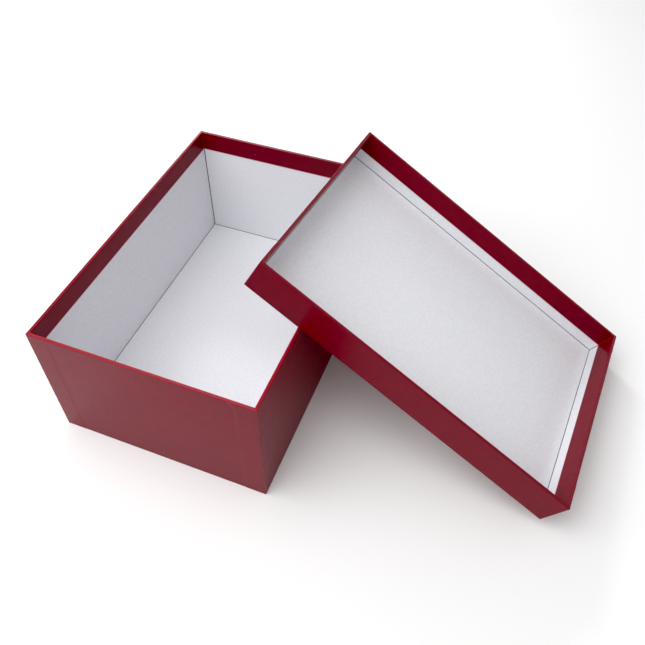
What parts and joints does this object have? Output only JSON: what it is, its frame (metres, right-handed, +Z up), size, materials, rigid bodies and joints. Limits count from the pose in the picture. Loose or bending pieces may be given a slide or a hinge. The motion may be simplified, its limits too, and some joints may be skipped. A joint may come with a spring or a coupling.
{
  "type": "gift box",
  "caption": "Rectangular rigid gift box in red wrap paper with a white lining: an open base and a lift-off lid that leans on its rim, open side up.",
  "frame": {"origin": "centre of the base's underside, on the surface that the box stands on", "axes": "+X across the base towards the side that the lid leans on, +Y along the base from its front end to its back end, +Z up"},
  "size_m": [0.454, 0.3, 0.1833],
  "materials": {
    "red_wrap_paper": "satin",
    "white_lining_paper": "satin",
    "greyboard": "matte",
    "kraft_stay_tape": "matte"
  },
  "bodies": {
    "base": {"base_back_left_stay": "kraft_stay_tape", "base_back_lining": "white_lining_paper", "base_back_right_stay": "kraft_stay_tape", "base_board": "greyboard", "base_floor_lining": "white_lining_paper", "base_front_left_stay": "kraft_stay_tape", "base_front_lining": "white_lining_paper", "base_front_right_stay": "kraft_stay_tape", "base_left_lining": "white_lining_paper", "base_right_lining": "white_lining_paper", "base_wrap": "red_wrap_paper"},
    "lid": {"lid_back_left_stay": "kraft_stay_tape", "lid_back_lining": "white_lining_paper", "lid_back_right_stay": "kraft_stay_tape", "lid_board": "greyboard", "lid_front_left_stay": "kraft_stay_tape", "lid_front_lining": "white_lining_paper", "lid_front_right_stay": "kraft_stay_tape", "lid_left_lining": "white_lining_paper", "lid_right_lining": "white_lining_paper", "lid_top_lining": "white_lining_paper", "lid_wrap": "red_wrap_paper"}
  },
  "joints": [
    {"name": "lid_lift", "type": "slide", "parent": "base", "child": "lid", "axis": [0, 0, 1], "range_m": [0, 0.14]}
  ]
}
